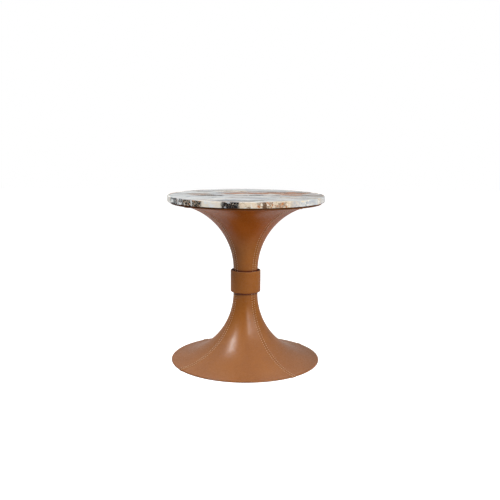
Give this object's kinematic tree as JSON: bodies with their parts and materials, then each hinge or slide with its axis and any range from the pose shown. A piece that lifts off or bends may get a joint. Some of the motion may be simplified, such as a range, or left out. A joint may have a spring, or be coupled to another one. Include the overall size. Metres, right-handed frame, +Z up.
{
  "type": "corner table",
  "caption": "Round corner table: a polished stone disc on a leather-clad hourglass pedestal, trumpet-shaped above and below a plain leather collar.",
  "frame": {"origin": "centre of the table at floor level, under its axis", "axes": "+Z up along the axis of the table, -Y towards the viewer of the picture, +X to the viewer's right"},
  "size_m": [0.4999, 0.5, 0.54],
  "materials": {
    "stone": "polished, banded white, cream, rust and black",
    "hide": "smooth saddle leather, satin",
    "collar_hide": "smooth saddle leather, satin",
    "spun_steel": "spun, bare",
    "ring_aluminium": "turned",
    "zinc_steel": "zinc plated",
    "plywood": "sanded birch plywood",
    "ballast_iron": "as cast, primed",
    "cover_paint": "matt black powder coat",
    "silicone": "translucent, soft",
    "pad_rubber": "matt black rubber"
  },
  "bodies": {
    "root": {"stone_top": "stone", "stone_pads": "silicone", "top_board": "plywood", "top_washer": "zinc_steel", "top_nut": "zinc_steel", "upper_shell": "spun_steel", "upper_hub": "spun_steel", "upper_leather_gore_1": "hide", "upper_leather_gore_2": "hide", "upper_leather_gore_3": "hide", "upper_leather_gore_4": "hide", "collar_ring": "ring_aluminium", "collar_leather": "collar_hide", "locating_pins": "zinc_steel", "lower_hub": "spun_steel", "lower_shell": "spun_steel", "lower_leather_gore_1": "hide", "lower_leather_gore_2": "hide", "lower_leather_gore_3": "hide", "lower_leather_gore_4": "hide", "tie_rod": "zinc_steel", "base_washer": "zinc_steel", "base_nut": "zinc_steel", "ballast_plate": "ballast_iron", "base_cover": "cover_paint", "cover_screws": "zinc_steel", "floor_pads": "pad_rubber"}
  },
  "joints": []
}
